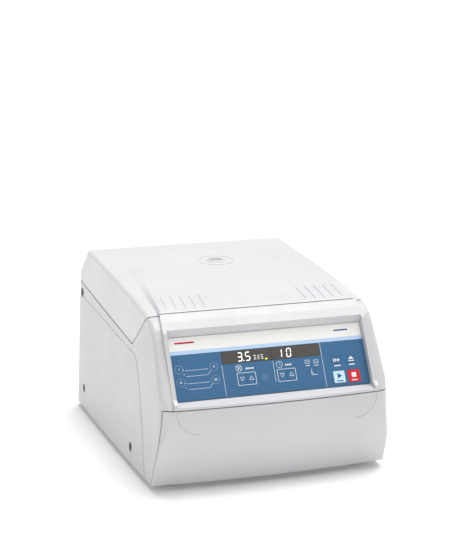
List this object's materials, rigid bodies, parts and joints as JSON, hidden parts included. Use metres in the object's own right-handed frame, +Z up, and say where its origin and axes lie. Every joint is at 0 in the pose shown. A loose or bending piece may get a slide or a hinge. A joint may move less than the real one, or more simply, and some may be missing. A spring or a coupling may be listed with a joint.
{
  "type": "laboratory centrifuge",
  "caption": "Bench-top laboratory centrifuge: white wedge-shaped casing, hinged lid with sight port, sloping keypad with display, swing-out rotor in a steel bowl.",
  "frame": {"origin": "centre of the footprint at bench level, under the feet", "axes": "+Z up, front towards -Y, +X to the right seen from the front"},
  "size_m": [0.3196, 0.45, 0.2416],
  "materials": {
    "casing": "fine satin moulded",
    "lid": "fine satin moulded",
    "liner": "satin moulded",
    "steel": "brushed",
    "bright_steel": "polished",
    "aluminium": "turned",
    "bucket": "anodised satin",
    "rubber": "matte",
    "board": "solder mask",
    "black_plastic": "satin",
    "component": "satin",
    "window": "polished tinted",
    "clear": "polished clear",
    "ring": "satin",
    "panel": "printed film, satin",
    "key_blue": "printed film, satin",
    "key_light": "printed film, satin",
    "key_red": "printed film, satin"
  },
  "bodies": {
    "base": {"housing": "casing", "lower_front_cover": "casing", "base_pan": "steel", "deck_plate": "steel", "chamber_bowl": "steel", "chamber_floor": "steel", "guard_ring": "steel", "motor_plate": "steel", "hinge_brackets": "steel", "lock_bracket": "steel", "hinge_pins": "bright_steel", "motor_bearings": "bright_steel", "motor_can": "aluminium", "motor_end_cap": "aluminium", "heat_sink": "aluminium", "rubber_feet": "rubber", "motor_dampers": "rubber", "shaft_boot": "rubber", "bowl_gasket": "rubber", "power_board": "board", "display_board": "board", "power_inlet": "black_plastic", "switch_bezel": "black_plastic", "rotor_sensors": "black_plastic", "display_modules": "black_plastic", "side_screws": "black_plastic", "capacitors": "component", "transformer": "component", "lock_solenoid": "component", "display_window": "window", "control_panel_overlay": "panel"},
    "lid": {"lid_shell": "lid", "lid_liner": "liner", "lid_seal_disc": "steel", "viewport_ring": "ring", "viewport_lens": "clear", "lid_striker": "steel"},
    "rotor": {"motor_shaft": "bright_steel", "rotor_spider": "aluminium", "rotor_nut": "aluminium", "trunnion_pins": "bright_steel"},
    "bucket_1_body": {"bucket_1": "bucket"},
    "bucket_2_body": {"bucket_2": "bucket"},
    "bucket_3_body": {"bucket_3": "bucket"},
    "bucket_4_body": {"bucket_4": "bucket"},
    "lock_bolt_body": {"lock_bolt": "bright_steel"},
    "power_rocker_body": {"power_rocker": "black_plastic"},
    "key_program_1_body": {"key_program_1": "key_blue"},
    "key_program_2_body": {"key_program_2": "key_blue"},
    "key_program_3_body": {"key_program_3": "key_blue"},
    "key_program_4_body": {"key_program_4": "key_blue"},
    "key_select_body": {"key_select": "key_blue"},
    "key_speed_down_body": {"key_speed_down": "key_blue"},
    "key_speed_up_body": {"key_speed_up": "key_blue"},
    "key_time_down_body": {"key_time_down": "key_blue"},
    "key_time_up_body": {"key_time_up": "key_blue"},
    "key_pulse_body": {"key_pulse": "key_blue"},
    "key_open_body": {"key_open": "key_blue"},
    "key_start_body": {"key_start": "key_light"},
    "key_stop_body": {"key_stop": "key_red"}
  },
  "joints": [
    {"name": "lid_hinge", "type": "hinge", "parent": "base", "child": "lid", "pos_m": [0, 0.213, 0.1914], "axis": [-1, 0, 0], "range_deg": [0, 75]},
    {"name": "rotor_spin", "type": "hinge", "parent": "base", "child": "rotor", "pos_m": [0.0115, 0.065, 0.137], "axis": [0, 0, 1], "continuous": true},
    {"name": "bucket_1_swing", "type": "hinge", "parent": "rotor", "child": "bucket_1_body", "pos_m": [0.04686, 0.10035, 0.137], "axis": [-0.7071, 0.7071, 0], "range_deg": [-90, 0]},
    {"name": "bucket_2_swing", "type": "hinge", "parent": "rotor", "child": "bucket_2_body", "pos_m": [-0.02386, 0.10035, 0.137], "axis": [-0.7071, -0.7071, 0], "range_deg": [-90, 0]},
    {"name": "bucket_3_swing", "type": "hinge", "parent": "rotor", "child": "bucket_3_body", "pos_m": [-0.02386, 0.02965, 0.137], "axis": [0.7071, -0.7071, 0], "range_deg": [-90, 0]},
    {"name": "bucket_4_swing", "type": "hinge", "parent": "rotor", "child": "bucket_4_body", "pos_m": [0.04686, 0.02965, 0.137], "axis": [0.7071, 0.7071, 0], "range_deg": [-90, 0]},
    {"name": "lock_bolt_slide", "type": "slide", "parent": "base", "child": "lock_bolt_body", "axis": [0, -1, 0], "range_m": [-0.0092, 0]},
    {"name": "power_rocker_tilt", "type": "hinge", "parent": "base", "child": "power_rocker_body", "pos_m": [-0.067, 0.2164, 0.045], "axis": [1, 0, 0], "range_deg": [-8, 8]},
    {"name": "key_program_1_press", "type": "slide", "parent": "base", "child": "key_program_1_body", "axis": [0, 0.879, -0.4769], "range_m": [0, 0.0005], "stiffness_N_per_m": 1500},
    {"name": "key_program_2_press", "type": "slide", "parent": "base", "child": "key_program_2_body", "axis": [0, 0.879, -0.4769], "range_m": [0, 0.0005], "stiffness_N_per_m": 1500},
    {"name": "key_program_3_press", "type": "slide", "parent": "base", "child": "key_program_3_body", "axis": [0, 0.879, -0.4769], "range_m": [0, 0.0005], "stiffness_N_per_m": 1500},
    {"name": "key_program_4_press", "type": "slide", "parent": "base", "child": "key_program_4_body", "axis": [0, 0.879, -0.4769], "range_m": [0, 0.0005], "stiffness_N_per_m": 1500},
    {"name": "key_select_press", "type": "slide", "parent": "base", "child": "key_select_body", "axis": [0, 0.879, -0.4769], "range_m": [0, 0.0005], "stiffness_N_per_m": 1500},
    {"name": "key_speed_down_press", "type": "slide", "parent": "base", "child": "key_speed_down_body", "axis": [0, 0.879, -0.4769], "range_m": [0, 0.0005], "stiffness_N_per_m": 1500},
    {"name": "key_speed_up_press", "type": "slide", "parent": "base", "child": "key_speed_up_body", "axis": [0, 0.879, -0.4769], "range_m": [0, 0.0005], "stiffness_N_per_m": 1500},
    {"name": "key_time_down_press", "type": "slide", "parent": "base", "child": "key_time_down_body", "axis": [0, 0.879, -0.4769], "range_m": [0, 0.0005], "stiffness_N_per_m": 1500},
    {"name": "key_time_up_press", "type": "slide", "parent": "base", "child": "key_time_up_body", "axis": [0, 0.879, -0.4769], "range_m": [0, 0.0005], "stiffness_N_per_m": 1500},
    {"name": "key_pulse_press", "type": "slide", "parent": "base", "child": "key_pulse_body", "axis": [0, 0.879, -0.4769], "range_m": [0, 0.0005], "stiffness_N_per_m": 1500},
    {"name": "key_open_press", "type": "slide", "parent": "base", "child": "key_open_body", "axis": [0, 0.879, -0.4769], "range_m": [0, 0.0005], "stiffness_N_per_m": 1500},
    {"name": "key_start_press", "type": "slide", "parent": "base", "child": "key_start_body", "axis": [0, 0.879, -0.4769], "range_m": [0, 0.0005], "stiffness_N_per_m": 1500},
    {"name": "key_stop_press", "type": "slide", "parent": "base", "child": "key_stop_body", "axis": [0, 0.879, -0.4769], "range_m": [0, 0.0005], "stiffness_N_per_m": 1500}
  ]
}
